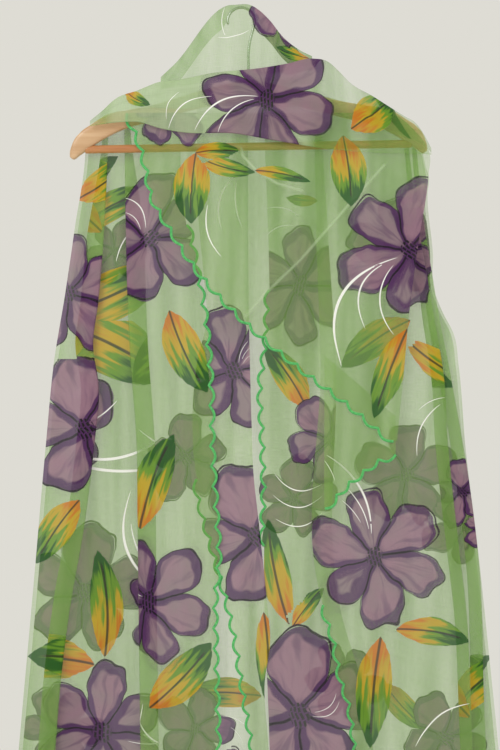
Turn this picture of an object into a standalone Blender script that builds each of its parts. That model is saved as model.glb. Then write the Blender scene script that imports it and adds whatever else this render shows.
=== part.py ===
"""Sheer printed dupatta stole, draped over a wooden hanger with a steel hook.

The stole is one long cloth. Each stretch of it that shows is a wall of its own: the peak over the
hook, the band across the arms, the overlay in front, and the falls behind the bar. Scalloped borders
lie along its edges. X is to the right, Y away from the viewer, Z up, and the origin is where the
hook hangs, at the inner top of its eye.
"""

import math

import bmesh
import bpy
import numpy as np

# Driving dimensions, in metres
WALL = 0.0012  # cloth wall
BORDER_WALL = 0.0010  # embroidered border
GAP = 0.0003  # between neighbouring pieces
SIDEWAYS = 0.006  # the arms and the cloth hang this far to the right of the hook's eye
ARM_THICKNESS = 0.012
ARM_CENTRE = 0.003  # middle of the arms, before the sideways shift
ARM_TILT = 0.018  # rise of the right arm for each metre across
BAR_RADIUS = 0.005
BAR_HALF_LENGTH = 0.206
BAR_HEIGHT = -0.171
WIRE_RADIUS = 0.0018
EYE_RADIUS = 0.015  # inner radius of the hook's eye
SCALLOP_PITCH = 0.0255
SCALLOP_DEPTH = 0.006
BORDER_WIDTH = 0.003  # from the panel's edge to the cusps between two scallops
SCALLOP_STEPS = 3
LAYER = 0.0020  # from one flat layer of cloth to the next
FRONT_DEPTH = 0.0073  # middle of the first layer behind the arms
TOP_BELOW_ARM = 0.008  # the falls end this far below the arms' upper edge, behind them
FALL_TOP = -0.150  # nominal height of the falls' upper ends
FALL_ROWS = 14
PEAK_LAP = 0.022  # the peak's lap behind the hook
SWELL = 0.006  # broad sway that every hanging layer shares
SWELL_PITCH = 0.21

# Arms. Columns: distance from the middle, upper edge, lower edge, in millimetres
ARMS = [
    (0, -87, -112),
    (60, -101, -122),
    (121, -118, -138),
    (150, -123, -145),
    (175, -128, -156),
    (195, -140, -168),
    (209, -150, -178),
    (218, -162, -183),
    (222, -173, -180),
]

# Lines down the cloth. Columns: height, place across, in millimetres
LEFT_OUTLINE = [(-150, -200), (-180, -201), (-258, -213), (-349, -225), (-435, -239), (-548, -250),
                (-707, -264), (-900, -282), (-1225, -312)]
LEFT_FOLD_1 = [(-150, -171), (-258, -176), (-367, -185), (-415, -191), (-470, -184), (-548, -190),
               (-665, -205), (-721, -215), (-833, -230), (-918, -237), (-1225, -262)]
LEFT_FOLD_2 = [(-150, -152), (-239, -151), (-415, -146), (-548, -137), (-640, -136), (-1225, -128)]
LEFT_EDGE = [(-150, -84), (-260, -79), (-319, -66), (-367, -57), (-461, -48), (-546, -46),
             (-628, -41), (-687, -38), (-730, -42), (-782, -42), (-857, -40), (-1225, -32)]
INNER_LEFT = [(-150, -60), (-276, -58), (-337, -51), (-384, -48), (-440, -60), (-600, -58),
              (-687, -34), (-760, -15), (-862, 2), (-912, 10), (-1205, 17)]
INNER_RIGHT = [(-150, 2), (-405, 4), (-518, 7), (-575, 9), (-640, 16), (-748, 27), (-782, 30),
               (-845, 23), (-905, 27), (-1205, 50)]
CENTRE_LEFT = [(-150, 23), (-440, 25), (-461, 22), (-529, 24), (-607, 26), (-662, 24), (-900, 30),
               (-1210, 42)]
CENTRE_RIGHT = [(-150, 92), (-434, 112), (-748, 118), (-861, 150), (-918, 158), (-1210, 190)]
RIGHT_EDGE = [(-150, 86), (-257, 88), (-434, 94), (-740, 97), (-784, 112), (-836, 122), (-861, 130),
              (-918, 139), (-1220, 168)]
RIGHT_FOLD_1 = [(-150, 200), (-257, 214), (-377, 234), (-463, 248), (-535, 252), (-596, 258),
                (-665, 266), (-761, 277), (-871, 282), (-1220, 290)]
RIGHT_FOLD_2 = [(-150, 211), (-257, 223), (-377, 241), (-463, 258), (-596, 281), (-698, 293),
                (-871, 299), (-1220, 318)]
RIGHT_OUTLINE = [(-150, 214), (-178, 228), (-208, 227), (-298, 234), (-349, 236), (-377, 247),
                 (-402, 260), (-445, 267), (-548, 276), (-679, 292), (-831, 308), (-1220, 346)]
OVERLAY_LEFT = [(-130, -146), (-156, -133), (-205, -119), (-231, -114), (-274, -90), (-334, -49),
                (-388, 3), (-439, 63), (-487, 126), (-536, 183)]
OVERLAY_RIGHT = [(-130, 184), (-150, 208), (-178, 227), (-208, 226), (-288, 214), (-377, 202),
                 (-465, 194), (-536, 187)]

# Edges across the cloth. Columns: place across, height, in millimetres
BAND_TOP = [(-193, -140), (-177, -127), (-163, -114), (-133, -102), (-111, -93), (-77, -88),
            (-48, -82), (23, -74), (52, -69), (82, -63), (103, -68), (114, -78), (130, -94),
            (154, -108), (197, -135), (209, -142), (220, -157), (229, -174)]
BAND_FOOT = [(-193, -148), (-153, -143), (-133, -143), (-105, -151), (-75, -156), (-16, -157),
             (37, -166), (100, -176), (159, -181), (229, -183)]
PEAK_TOP = [(-106, -84), (-88, -67), (-33, 0), (-26, 4), (-12, 6), (4, 6), (30, -14), (44, -32),
            (66, -50), (82, -58)]
UNDER_TOP = [(97, -430), (184, -505)]
UNDER_FOOT = [(97, -620), (108, -606), (122, -590), (142, -573), (163, -558), (185, -552)]

# Upper end of the back fall, over the arms. Columns: depth, rise over the arms, in metres
BACK_LAP = [(0.0032, 0.0015), (0.0088, 0.0013), (0.0132, -0.0010)]

# Soft ridges of the overlay. Columns: place across, height, in millimetres
KNIFE_FOLD = [(171, -195), (121, -251), (67, -313), (22, -356), (0, -382)]
COWL_FOLD = [(-69, -171), (-6, -171), (-4, -184), (12, -201), (38, -218), (69, -227)]

CLOTH_GREEN = (0.43, 0.55, 0.28, 1.0)
BORDER_GREEN = (0.10, 0.55, 0.16, 1.0)
ARM_WOOD = (0.73, 0.45, 0.23, 1.0)
BAR_WOOD = (0.60, 0.27, 0.10, 1.0)
STEEL = (0.60, 0.60, 0.61, 1.0)


def clear_scene():
    for thing in list(bpy.data.objects):
        bpy.data.objects.remove(thing, do_unlink=True)


def material(name, colour, roughness, metallic=0.0):
    finish = bpy.data.materials.new(name)
    finish.use_nodes = True
    shader = finish.node_tree.nodes["Principled BSDF"]
    shader.inputs["Base Color"].default_value = colour
    shader.inputs["Roughness"].default_value = roughness
    shader.inputs["Metallic"].default_value = metallic
    return finish


def add_object(name, points, faces, finish, smooth=True):
    """One closed mesh, turned so that its faces point out."""
    mesh = bpy.data.meshes.new(name)
    mesh.from_pydata([tuple(point) for point in points], [], faces)
    body = bmesh.new()
    body.from_mesh(mesh)
    bmesh.ops.recalc_face_normals(body, faces=body.faces)
    if body.calc_volume(signed=True) < 0:
        bmesh.ops.reverse_faces(body, faces=body.faces)
    body.to_mesh(mesh)
    body.free()
    if smooth:
        mesh.shade_smooth()
    mesh.materials.append(finish)
    thing = bpy.data.objects.new(name, mesh)
    bpy.context.scene.collection.objects.link(thing)
    return thing


def ease(share):
    share = np.clip(share, 0.0, 1.0)
    return share * share * (3.0 - 2.0 * share)


def curve_through(table):
    """Smooth function through a table of (place, value) rows in millimetres, in metres."""
    place, value = np.array(sorted(table), float).T / 1000.0
    slope = np.gradient(value, place)

    def at(where):
        where = np.clip(where, place[0], place[-1])
        i = np.clip(np.searchsorted(place, where) - 1, 0, len(place) - 2)
        step = place[i + 1] - place[i]
        s = (where - place[i]) / step
        bend = (value[i] * (2 * s + 1) + slope[i] * step * s) * (1 - s) ** 2
        return bend + (value[i + 1] * (3 - 2 * s) + slope[i + 1] * step * (s - 1)) * s * s

    return at


def normals_of(grid):
    """Unit normals of a grid of points, from its steps along rows and columns."""
    down = np.gradient(grid, axis=0)
    across = np.gradient(grid, axis=1)
    normal = np.cross(across, down)
    return normal / np.linalg.norm(normal, axis=2, keepdims=True)


def wall(name, grid, finish, thickness=WALL, normal=None):
    """Closed wall: a grid of middle points moved half a wall each way, joined round its rim."""
    normal = normals_of(grid) if normal is None else normal
    rows, columns = grid.shape[:2]
    shifted = grid + np.array([SIDEWAYS, 0.0, 0.0])
    sides = [shifted + normal * thickness / 2, shifted - normal * thickness / 2]
    points = np.concatenate([side.reshape(-1, 3) for side in sides])
    size = rows * columns
    faces = []
    for row in range(rows - 1):
        for column in range(columns - 1):
            a = row * columns + column
            b, c, d = a + 1, a + columns + 1, a + columns
            faces.append((a, b, c, d))
            faces.append((size + a, size + d, size + c, size + b))
    rim = [column for column in range(columns)]
    rim += [row * columns + columns - 1 for row in range(1, rows)]
    rim += [(rows - 1) * columns + column for column in range(columns - 2, -1, -1)]
    rim += [row * columns for row in range(rows - 2, 0, -1)]
    for here, after in zip(rim, rim[1:] + rim[:1]):
        faces.append((here, size + here, size + after, after))
    return add_object(name, points, faces, finish)


def arm_edges(x):
    """Heights of the arms' upper and lower edges at places across."""
    upper = curve_through([(row[0], row[1]) for row in ARMS])
    lower = curve_through([(row[0], row[2]) for row in ARMS])
    side = np.abs(x - ARM_CENTRE)
    tilt = ARM_TILT * (x - ARM_CENTRE)
    return upper(side) + tilt, lower(side) + tilt


def steepness(height, x):
    """Length of a sloping line for each metre across, for a gap that is measured square to it."""
    return np.hypot(1.0, np.gradient(height, x))


def swell(x, z):
    """Depth of the sway that all hanging layers share, from nothing at the bar to full at the hem."""
    fall = ease((-0.20 - z) / 0.6)
    return SWELL * fall * np.sin(2 * math.pi * (x / SWELL_PITCH + 0.35 * z + 0.1))


def distance_to(x, z, table):
    """Distance of each point from the broken line through a table of (across, height) rows."""
    corners = np.array(table, float) / 1000.0
    nearest = np.full(np.shape(x), 9.0)
    for start, end in zip(corners[:-1], corners[1:]):
        run = end - start
        share = ((x - start[0]) * run[0] + (z - start[1]) * run[1]) / (run @ run)
        share = np.clip(share, 0.0, 1.0)
        away = np.hypot(x - start[0] - share * run[0], z - start[1] - share * run[1])
        nearest = np.minimum(nearest, away)
    return nearest


def pleated(turns, levels, counts, arc_steps=4):
    """Cross-sections with straight runs from turn to turn at the given depths, joined by half circles.

    turns and levels hold one array over the rows each, and counts the points on each run.
    """
    places, depths = [], []
    for k, count in enumerate(counts):
        way = np.sign(turns[k + 1] - turns[k])
        turn_in = np.abs(levels[k] - levels[k - 1]) / 2 if k else 0.0
        half = (levels[k + 1] - levels[k]) / 2 if k + 1 < len(levels) else 0.0 * levels[k]
        start = turns[k] + way * turn_in
        end = turns[k + 1] - way * np.abs(half)
        share = np.linspace(0.0, 1.0, count)
        places.append(start[:, None] * (1 - share) + end[:, None] * share)
        depths.append(levels[k][:, None] + 0 * share)
        if k + 1 < len(levels):
            angle = np.linspace(0.0, math.pi, arc_steps + 1)[1:-1]
            places.append(end[:, None] + (way * np.abs(half))[:, None] * np.sin(angle))
            depths.append((levels[k] + half)[:, None] - half[:, None] * np.cos(angle))
    return np.hstack(places), np.hstack(depths)


def fall_rows(hem):
    """Nominal heights of a fall's rows, closer together at the top."""
    share = np.linspace(0.0, 1.0, FALL_ROWS) ** 1.15
    return FALL_TOP + (hem - FALL_TOP) * share


def hang(x, y, rows):
    """Grid of a fall: its top follows the arms, and it sways with the layers round it."""
    z = rows[:, None] + 0 * x
    lift = arm_edges(x)[0] - TOP_BELOW_ARM - FALL_TOP
    z = z + lift * (1 - ease((FALL_TOP - z) / 0.20))
    return np.stack([x, y + swell(x, z), z], axis=2)


def scallops(name, edge, inside, normal, finish):
    """Border beside a panel's edge: straight along the panel, scalloped outside.

    edge and inside are the panel's last two lines of points, and normal its normals at the edge.
    """
    out = edge - inside
    out /= np.linalg.norm(out, axis=1, keepdims=True)
    along = np.concatenate([[0.0], np.cumsum(np.linalg.norm(np.diff(edge, axis=0), axis=1))])
    count = max(1, round(along[-1] / SCALLOP_PITCH))
    pitch = along[-1] / count
    marks = np.linspace(0.0, along[-1], count * SCALLOP_STEPS + 1)
    inner = [place for place in along[1:-1] if np.min(np.abs(marks - place)) > 0.0008]
    marks = np.sort(np.concatenate([marks, inner]))

    def sample(lines):
        return np.stack([np.interp(marks, along, lines[:, axis]) for axis in range(3)], axis=1)

    middle, way, face = sample(edge), sample(out), sample(normal)
    face /= np.linalg.norm(face, axis=1, keepdims=True)
    reach = BORDER_WIDTH + SCALLOP_DEPTH * np.abs(np.sin(math.pi * marks / pitch))
    grid = np.stack([middle + way * GAP, middle + way * reach[:, None]], axis=1)
    faces = np.stack([face, face], axis=1)
    return wall(name, grid, finish, BORDER_WALL, faces)


def side_border(name, grid, column, first_row, finish):
    """Border down one side of a panel, from a row to the hem."""
    beside = 1 if column == 0 else -2
    normal = normals_of(grid)
    part = slice(first_row, None)
    scallops(name, grid[part, column], grid[part, beside], normal[part, column], finish)


def hem_border(name, grid, finish):
    """Border along the lower end of a panel."""
    scallops(name, grid[-1], grid[-2], normals_of(grid)[-1], finish)


def make_arms():
    """The yoke: an outline drawn from the table, extruded and rounded."""
    wood = material("arm_wood", ARM_WOOD, 0.45)
    arms = add_object("hanger_arms", *arm_board(0.0), wood)
    bevel = arms.modifiers.new("rounded edges", "BEVEL")
    bevel.width = 0.0035
    bevel.segments = 2
    bevel.limit_method = "ANGLE"
    bevel.angle_limit = math.radians(50)
    return wood


def arm_board(grow):
    """Points and faces of the arms' board, made larger all round by grow."""
    reach = ARMS[-1][0] / 1000.0
    side = reach * np.sin(np.linspace(-math.pi / 2, math.pi / 2, 31))
    x = ARM_CENTRE + side
    upper, lower = arm_edges(x)
    outline = np.concatenate([
        np.stack([x, upper + grow * steepness(upper, x)], axis=1),
        np.stack([x, lower - grow * steepness(lower, x)], axis=1)[::-1],
    ])
    outline[:, 0] += grow * np.sign(outline[:, 0]) + SIDEWAYS
    half = ARM_THICKNESS / 2 + grow
    size = len(outline)
    points = [(p[0], -half, p[1]) for p in outline] + [(p[0], half, p[1]) for p in outline]
    faces = [tuple(range(size)), tuple(range(2 * size - 1, size - 1, -1))]
    faces += [(i, (i + 1) % size, size + (i + 1) % size, size + i) for i in range(size)]
    return points, faces


def make_bar():
    """The round bar, its ends cut to the arms' lower edges."""
    bar_wood = material("bar_wood", BAR_WOOD, 0.4)
    sides = 16
    turn = np.linspace(0.0, 2 * math.pi, sides, endpoint=False)
    points = []
    for end in (-BAR_HALF_LENGTH, BAR_HALF_LENGTH):
        x = ARM_CENTRE + end
        z = BAR_HEIGHT + ARM_TILT * end
        points += [(x + SIDEWAYS, BAR_RADIUS * math.cos(a), z + BAR_RADIUS * math.sin(a)) for a in turn]
    faces = [tuple(range(sides)), tuple(range(2 * sides - 1, sides - 1, -1))]
    faces += [(i, (i + 1) % sides, sides + (i + 1) % sides, sides + i) for i in range(sides)]
    bar = add_object("hanger_bar", points, faces, bar_wood)
    cutter = add_object("bar_end_cutter", *arm_board(GAP), bar_wood, smooth=False)
    cutter.hide_render = True
    cutter.display_type = "WIRE"
    cut = bar.modifiers.new("ends meet the arms", "BOOLEAN")
    cut.operation = "DIFFERENCE"
    cut.object = cutter


def make_hook():
    """Steel wire: a straight neck on the arms, then an open eye round the hanging point."""
    steel = material("hook_steel", STEEL, 0.25, 1.0)
    radius = EYE_RADIUS + WIRE_RADIUS
    neck = ARM_CENTRE + SIDEWAYS
    foot = float(arm_edges(np.array([ARM_CENTRE]))[0][0]) + GAP
    route = [(neck, foot), (neck, -0.070), (neck, -0.056), (neck + 0.0010, -0.045), (neck + 0.0036, -0.033)]
    for degrees in range(-20, 211, 18):
        angle = math.radians(degrees)
        route.append((radius * math.cos(angle), -EYE_RADIUS + radius * math.sin(angle)))
    curve = bpy.data.curves.new("hanger_hook", "CURVE")
    curve.dimensions = "3D"
    curve.bevel_depth = WIRE_RADIUS
    curve.bevel_resolution = 2
    curve.use_fill_caps = True
    spline = curve.splines.new("POLY")
    spline.points.add(len(route) - 1)
    for point, (x, z) in zip(spline.points, route):
        point.co = (x, 0.0, z, 1.0)
    curve.materials.append(steel)
    hook = bpy.data.objects.new("hanger_hook", curve)
    bpy.context.scene.collection.objects.link(hook)


def make_peak(cloth):
    """Tent of cloth over the hook: up in front, over a round ridge, and a lap down behind.

    The lap is cut short behind the hook's eye, where the nail or peg that holds the hook comes in.
    """
    top, band_top = curve_through(PEAK_TOP), curve_through(BAND_TOP)
    x = np.linspace(PEAK_TOP[0][0], PEAK_TOP[-1][0], 21) / 1000.0
    ridge = 0.0032
    centre = top(x) - WALL / 2 - ridge
    base = np.minimum(band_top(x) - 0.009, centre - 0.002)
    beside_eye = 1 - np.exp(-((x + SIDEWAYS) / EYE_RADIUS / 1.2) ** 4)
    lap = centre - 0.0015 - np.minimum(PEAK_LAP, (centre - base) * 0.8) * beside_eye
    rows = []
    for share in np.linspace(0.0, 1.0, 5):
        depth = -0.0072 + (0.0072 - ridge) * ease(share)
        rows.append((depth + 0 * x, base + (centre - base) * share))
    for angle in np.linspace(0.0, math.pi, 6)[1:-1]:
        rows.append((-ridge * math.cos(angle) + 0 * x, centre + ridge * math.sin(angle)))
    for share in np.linspace(0.0, 1.0, 3):
        rows.append((ridge + 0 * x, centre + (lap - centre) * share))
    grid = np.array([np.stack([x, y, z], axis=1) for y, z in rows])
    wall("stole_peak", grid, cloth)


def make_band(cloth):
    """Band across the arms: a soft roll of cloth with a folded foot, open behind."""
    top, foot = curve_through(BAND_TOP), curve_through(BAND_FOOT)
    share = np.linspace(0.0, 1.0, 26)
    x = (BAND_TOP[0][0] + (BAND_TOP[-1][0] - BAND_TOP[0][0]) * share) / 1000.0
    high, low = top(x) - WALL / 2, foot(x) + WALL / 2
    height = high - low
    roll = np.clip(0.30 * height, 0.0013, 0.0030)
    tuck = np.minimum(0.0014, roll)
    back = -0.0090
    front = back - 2 * roll
    rows = []
    for s in (0.0, 1.0):
        rows.append((back + 0 * x, low + 0.45 * height + (high - roll - low - 0.45 * height) * s))
    for angle in np.linspace(0.0, math.pi, 6)[1:-1]:
        rows.append((back - roll + roll * math.cos(angle), high - roll + roll * math.sin(angle)))
    for s in np.linspace(0.0, 1.0, 6):
        bulge = 0.09 * (height - 0.006) * (math.sin(math.pi * s) - 0.6 * math.exp(-((s - 0.3) / 0.1) ** 2))
        rows.append((front - np.maximum(bulge, 0.0), high - roll + (low + tuck - high + roll) * s))
    for angle in np.linspace(0.0, math.pi, 4)[1:]:
        rows.append((front + tuck - tuck * math.cos(angle), low + tuck - tuck * math.sin(angle)))
    grid = np.array([np.stack([x, y, z], axis=1) for y, z in rows])
    wall("stole_band", grid, cloth)


def make_overlay(cloth, trim):
    """Overlay in front of the bar, with a diagonal scalloped edge and soft folds."""
    left, right = curve_through(OVERLAY_LEFT), curve_through(OVERLAY_RIGHT)
    rows = np.linspace(OVERLAY_LEFT[0][0], OVERLAY_LEFT[-1][0], 17) / 1000.0
    share = np.linspace(0.0, 1.0, 16)
    x = left(rows)[:, None] * (1 - share) + right(rows)[:, None] * share
    z = rows[:, None] + 0 * x
    y = overlay_depth(x, z)
    grid = np.stack([x, y, z], axis=2)
    wall("stole_front_overlay", grid, cloth)
    side_border("border_front_overlay", grid, 0, 0, trim)


def overlay_depth(x, z):
    """Depth of the overlay: it leaves the bar, swells out along its folds and sways below."""
    free = ease((-0.182 - z) / 0.10)
    knife = 0.0030 * np.exp(-(distance_to(x, z, KNIFE_FOLD) / 0.014) ** 2)
    cowl = 0.0030 * np.exp(-(distance_to(x, z, COWL_FOLD) / 0.010) ** 2)
    return -FRONT_DEPTH - 0.004 * free - knife - cowl * ease((-0.165 - z) / 0.01) + swell(x, z)


def make_folded_under(cloth, trim):
    """The layer folded under the overlay's lower corner, which shows below it."""
    top, foot = curve_through(UNDER_TOP), curve_through(UNDER_FOOT)
    x = np.linspace(UNDER_FOOT[0][0], UNDER_FOOT[-1][0], 9) / 1000.0
    share = np.linspace(0.0, 1.0, 8)[:, None]
    z = top(x) * (1 - share) + foot(x) * share
    x = x + 0 * z
    y = overlay_depth(x, z) + 0.0019
    grid = np.stack([x, y, z], axis=2)
    wall("stole_folded_under", grid, cloth)
    hem_border("border_folded_under", grid, trim)


def make_left_fall(cloth, trim):
    """Left fall: an inverted box pleat between its two front parts."""
    rows = fall_rows(LEFT_OUTLINE[-1][0] / 1000.0)
    left, fold_1, fold_2, edge = [
        curve_through(table)(rows) for table in (LEFT_OUTLINE, LEFT_FOLD_1, LEFT_FOLD_2, LEFT_EDGE)
    ]
    open_share = ease((FALL_TOP - rows) / 0.15)
    lap = 0.007 + 0.016 * open_share
    step = LAYER + 0.0030 * open_share
    front = FRONT_DEPTH + 0.0015 * open_share
    turns = [left, fold_1, fold_1 - lap, fold_2 + lap, fold_2, edge]
    levels = [front, front + step, front + 2 * step, front + step, front]
    x, y = pleated(turns, levels, (4, 2, 5, 2, 5))
    grid = hang(x, y, rows)
    wall("stole_left_fall", grid, cloth)
    side_border("border_left_fall_side", grid, -1, 2, trim)
    hem_border("border_left_fall_hem", grid, trim)


def make_right_fall(cloth, trim):
    """Right fall: a broad front with two knife pleats at its right."""
    rows = fall_rows(RIGHT_OUTLINE[-1][0] / 1000.0)
    edge, fold_1, fold_2, right = [
        curve_through(table)(rows) for table in (RIGHT_EDGE, RIGHT_FOLD_1, RIGHT_FOLD_2, RIGHT_OUTLINE)
    ]
    open_share = ease((FALL_TOP - rows) / 0.3)
    lap = 0.006 + 0.010 * open_share
    step = 0.0016 + 0.0012 * open_share
    front = FRONT_DEPTH + 0.0015 * ease((FALL_TOP - rows) / 0.15)
    turns = [edge, fold_1, fold_1 - lap, fold_2, fold_2 - lap, right]
    levels = [front + k * step for k in range(5)]
    x, y = pleated(turns, levels, (8, 2, 3, 2, 3), 3)
    grid = hang(x, y, rows)
    wall("stole_right_fall", grid, cloth)
    side_border("border_right_fall_side", grid, 0, 7, trim)
    hem_border("border_right_fall_hem", grid, trim)


def make_plain_fall(name, left_line, right_line, layers_back, columns, border_rows, cloth, trim):
    """A fall with no pleat, some layers behind the front ones, with a border down its left side."""
    rows = fall_rows(left_line[-1][0] / 1000.0)
    left, right = curve_through(left_line)(rows), curve_through(right_line)(rows)
    share = np.linspace(0.0, 1.0, columns)
    x = left[:, None] * (1 - share) + right[:, None] * share
    open_share = ease((FALL_TOP - rows) / 0.15)[:, None]
    y = FRONT_DEPTH + 0.0015 * open_share + layers_back * LAYER + 0 * x
    grid = hang(x, y, rows)
    wall("stole_" + name, grid, cloth)
    first, last = border_rows
    side_border("border_" + name + "_side", grid[:last], 0, first, trim)
    hem_border("border_" + name + "_hem", grid, trim)


def lap_over_arms(x, depth, rise):
    """A row of the back fall's upper end, which stays behind the arms where they bend down."""
    upper = arm_edges(x)[0]
    shoulder = ease((np.abs(x - ARM_CENTRE) - 0.105) / 0.030)
    depth = depth + (0.0105 + 0.3 * depth - depth) * shoulder
    over_neck = 0.0022 * np.exp(-((x - ARM_CENTRE) / 0.014) ** 2)
    height = upper + rise * steepness(upper, x) - 0.003 * shoulder + over_neck
    return np.stack([x, depth, height], axis=1)


def make_back_fall(cloth, trim):
    """Back fall: laps over the arms' upper edge, then hangs behind all the others in soft waves."""
    rows = fall_rows(-1.235)
    left, right = curve_through(LEFT_OUTLINE)(rows) + 0.003, curve_through(RIGHT_OUTLINE)(rows) - 0.003
    share = np.linspace(0.0, 1.0, 25)
    x = left[:, None] * (1 - share) + right[:, None] * share
    open_share = ease((FALL_TOP - rows) / 0.20)[:, None]
    wave = 0.0026 * open_share * np.sin(2 * math.pi * x / 0.118 + 4 * rows[:, None])
    y = 0.0165 + 0.0100 * open_share + wave
    grid = hang(x, y, rows)
    lap_rows = [lap_over_arms(x[0], depth, rise) for depth, rise in BACK_LAP]
    grid = np.concatenate([np.array(lap_rows), grid])
    wall("stole_back_fall", grid, cloth)
    hem_border("border_back_fall_hem", grid, trim)


def main():
    clear_scene()
    make_arms()
    make_bar()
    make_hook()
    cloth = material("organza", CLOTH_GREEN, 0.6)
    trim = material("scallop_thread", BORDER_GREEN, 0.5)
    make_peak(cloth)
    make_band(cloth)
    make_overlay(cloth, trim)
    make_folded_under(cloth, trim)
    make_left_fall(cloth, trim)
    make_right_fall(cloth, trim)
    make_plain_fall("inner_fall", INNER_LEFT, INNER_RIGHT, 1, 6, (6, None), cloth, trim)
    make_plain_fall("centre_fall", CENTRE_LEFT, CENTRE_RIGHT, 2, 7, (3, 8), cloth, trim)
    make_back_fall(cloth, trim)


main()
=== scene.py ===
# %% [markdown]
# # A sheer printed stole on its hanger
# The stole is one long organza cloth with a painted flower print and an embroidered scalloped edge.
# It hangs in layers from a wooden hanger, and the layers show through one another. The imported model
# gives the frame: every piece here takes the place of one of its nodes, with a finer form.

# %% Load the frame
import math

import bpy
import numpy as np
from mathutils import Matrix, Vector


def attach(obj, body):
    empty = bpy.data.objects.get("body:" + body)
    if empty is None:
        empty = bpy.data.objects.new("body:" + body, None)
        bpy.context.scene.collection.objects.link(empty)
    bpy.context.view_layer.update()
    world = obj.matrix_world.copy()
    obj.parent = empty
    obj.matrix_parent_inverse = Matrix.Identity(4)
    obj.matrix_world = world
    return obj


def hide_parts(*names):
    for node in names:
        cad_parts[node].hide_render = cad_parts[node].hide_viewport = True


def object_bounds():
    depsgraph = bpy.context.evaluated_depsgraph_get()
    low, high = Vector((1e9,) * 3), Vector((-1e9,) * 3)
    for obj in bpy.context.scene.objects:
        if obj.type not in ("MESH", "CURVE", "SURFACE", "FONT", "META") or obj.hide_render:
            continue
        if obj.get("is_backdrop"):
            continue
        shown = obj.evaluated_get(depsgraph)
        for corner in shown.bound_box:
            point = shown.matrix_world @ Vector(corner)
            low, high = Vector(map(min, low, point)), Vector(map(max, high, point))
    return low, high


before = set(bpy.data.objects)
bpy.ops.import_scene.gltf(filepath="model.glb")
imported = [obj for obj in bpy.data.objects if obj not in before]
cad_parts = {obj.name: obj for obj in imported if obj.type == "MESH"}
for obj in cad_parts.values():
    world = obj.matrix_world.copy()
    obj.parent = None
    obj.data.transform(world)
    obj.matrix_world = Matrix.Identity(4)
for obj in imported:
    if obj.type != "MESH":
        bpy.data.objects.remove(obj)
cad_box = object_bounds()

print("nodes to dress:", len(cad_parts))

# %% [markdown]
# ## Smooth lines from short tables
# A fold, an outline or a hem is a line with few points. A cubic piece between each two points, with
# the slope at a point taken from its neighbours, gives the smooth line through them.

# %% Lines and easing
SIDEWAYS = 0.006  # the cloth and the arms hang this far to the right of the hook's eye
ARM_CENTRE = 0.003
ARM_TILT = 0.018


def ease(share):
    """Runs from 0 to 1 with flat ends: three times the square less twice the cube."""
    share = np.clip(share, 0.0, 1.0)
    return share * share * (3.0 - 2.0 * share)


def cubic(s, start, end, start_slope, end_slope):
    """Cubic piece as s runs from 0 to 1: each end's value and slope, weighed down to nothing at the other."""
    first = (start * (2 * s + 1) + start_slope * s) * (1 - s) ** 2
    return first + (end * (3 - 2 * s) + end_slope * (s - 1)) * s * s


def curve_through(table):
    """Smooth function through (place, value) rows in millimetres, in metres."""
    place, value = np.array(sorted(table), float).T / 1000.0
    slope = np.gradient(value, place)

    def at(where):
        where = np.clip(where, place[0], place[-1])
        i = np.clip(np.searchsorted(place, where) - 1, 0, len(place) - 2)
        step = place[i + 1] - place[i]
        s = (where - place[i]) / step
        return cubic(s, value[i], value[i + 1], slope[i] * step, slope[i + 1] * step)

    return at


# Columns: distance from the middle, upper edge, lower edge, in millimetres
ARMS = [
    (0, -87, -112), (60, -101, -122), (121, -118, -138), (150, -123, -145), (175, -128, -156),
    (195, -140, -168), (209, -150, -178), (218, -162, -183), (222, -173, -180),
]


def arm_edges(x):
    """Heights of the arms' upper and lower edges at places across."""
    upper = curve_through([(row[0], row[1]) for row in ARMS])
    lower = curve_through([(row[0], row[2]) for row in ARMS])
    side = np.abs(x - ARM_CENTRE)
    tilt = ARM_TILT * (x - ARM_CENTRE)
    return upper(side) + tilt, lower(side) + tilt


print("arms' top at the middle:", round(float(arm_edges(np.array([ARM_CENTRE]))[0][0]), 4))

# %% [markdown]
# ## From a grid of points to a piece
# Each surface is a grid: one parameter runs down the cloth and the other across. The helper below
# joins neighbouring points into four-sided faces, shades them smoothly and puts the piece on the
# frame's only body.

# %% Grid to mesh


def mesh_of(name, grid, material, close_across=False, close_ends=False):
    """Piece with a face between each four neighbouring points of a grid."""
    rows, columns = grid.shape[:2]
    index = np.arange(rows * columns).reshape(rows, columns)
    if close_across:
        index = np.hstack([index, index[:, :1]])
    quads = np.stack([index[:-1, :-1], index[1:, :-1], index[1:, 1:], index[:-1, 1:]], axis=2)
    faces = quads.reshape(-1, 4).tolist()
    if close_ends:
        faces += [index[0, :columns].tolist(), index[-1, :columns][::-1].tolist()]
    mesh = bpy.data.meshes.new(name)
    mesh.from_pydata(grid.reshape(-1, 3).tolist(), [], faces)
    mesh.shade_smooth()
    mesh.materials.append(material)
    piece = bpy.data.objects.new(name, mesh)
    bpy.context.scene.collection.objects.link(piece)
    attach(piece, "root")
    return piece


def corner_values(grid):
    """Values of a grid's points at each face's four corners, in the mesh's order."""
    return np.stack([grid[:-1, :-1], grid[1:, :-1], grid[1:, 1:], grid[:-1, 1:]], axis=2)


def normals_of(grid):
    """Unit normals: the step across times the step down, as a cross product."""
    down = np.gradient(grid, axis=0)
    across = np.gradient(grid, axis=1)
    normal = np.cross(across, down)
    return normal / np.maximum(np.linalg.norm(normal, axis=2, keepdims=True), 1e-12)


def unit(lines):
    """Each line over its own length."""
    return lines / np.maximum(np.linalg.norm(lines, axis=-1, keepdims=True), 1e-12)


def along(points):
    """Length along a line of points, from its first one."""
    steps = np.linalg.norm(np.diff(points, axis=0), axis=1)
    return np.concatenate([[0.0], np.cumsum(steps)])


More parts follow.
